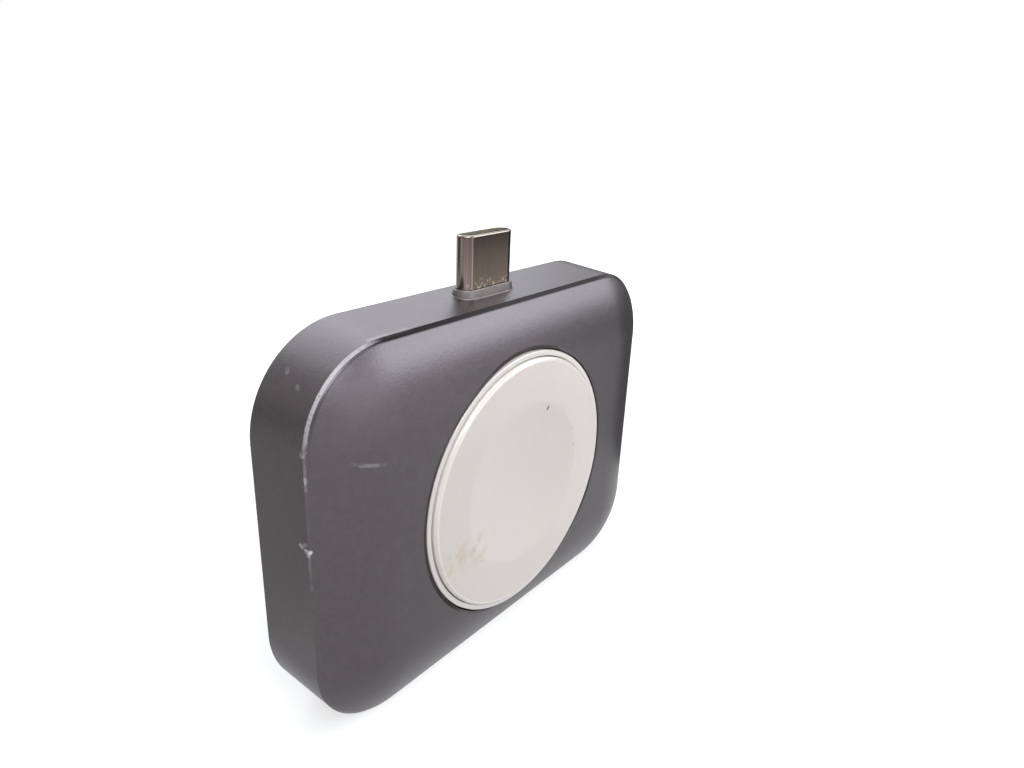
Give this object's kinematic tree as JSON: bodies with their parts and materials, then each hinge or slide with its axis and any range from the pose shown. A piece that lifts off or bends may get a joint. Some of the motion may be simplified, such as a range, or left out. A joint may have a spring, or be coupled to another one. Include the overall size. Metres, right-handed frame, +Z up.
{
  "type": "smartwatch charging dock",
  "caption": "Pocket dock that charges a smartwatch: a metal body with a crowned face, a white magnetic puck let into it and a plug that stands out of its top",
  "frame": {"origin": "under the middle of the whole dock, on the flat foot that it stands on, opposite the plug", "axes": "X across the body, Y from the charging face (minus) to the back (plus), Z up along the plug"},
  "size_m": [0.0596, 0.0116, 0.051],
  "materials": {
    "body_metal": "blasted and anodised dark grey, edges cut bright",
    "cover_plastic": "fine matte moulding",
    "glue": "cured, milky",
    "puck_plastic": "plain matte moulding",
    "puck_ring_plastic": "satin, slightly yellowed",
    "puck_cap_plastic": "soft gloss, warm white",
    "bright_steel": "plain, rolled",
    "ferrite": "sintered, dull",
    "magnet_plating": "nickel plated",
    "copper_wire": "enamelled copper",
    "foam": "closed-cell foam",
    "board_laminate": "glass-fibre board with solder mask",
    "chip_resin": "moulded resin",
    "capacitor_ceramic": "fired, tan",
    "resistor_ceramic": "glazed black",
    "plug_nickel": "drawn steel, nickel plated",
    "plug_moulding": "glass-filled moulding",
    "contact_gold": "gold plated"
  },
  "bodies": {
    "root": {"front_shell": "body_metal", "plug_collar": "body_metal", "back_cover": "cover_plastic", "cover_glue": "glue", "puck_glue": "glue", "puck_cup": "puck_plastic", "puck_ring": "puck_ring_plastic", "puck_cap": "puck_cap_plastic", "shield_plate": "bright_steel", "ferrite_plate": "ferrite", "alignment_magnet": "magnet_plating", "charging_coil": "copper_wire", "coil_lead_inner": "copper_wire", "coil_lead_outer": "copper_wire", "coil_pad": "foam", "foam_pad": "foam", "main_board": "board_laminate", "board_screws": "bright_steel", "controller_chip": "chip_resin", "driver_chip": "chip_resin", "supply_chip": "chip_resin", "tank_inductor": "ferrite", "tank_capacitors": "capacitor_ceramic", "chip_capacitors": "capacitor_ceramic", "chip_resistors": "resistor_ceramic", "crystal": "magnet_plating", "usb_shell": "plug_nickel", "usb_housing": "plug_moulding", "usb_latch": "bright_steel", "contact_carrier_front": "plug_moulding", "contact_carrier_back": "plug_moulding", "usb_contacts_front": "contact_gold", "usb_contacts_back": "contact_gold", "plug_clamp": "bright_steel", "clamp_screws": "bright_steel"}
  },
  "joints": []
}
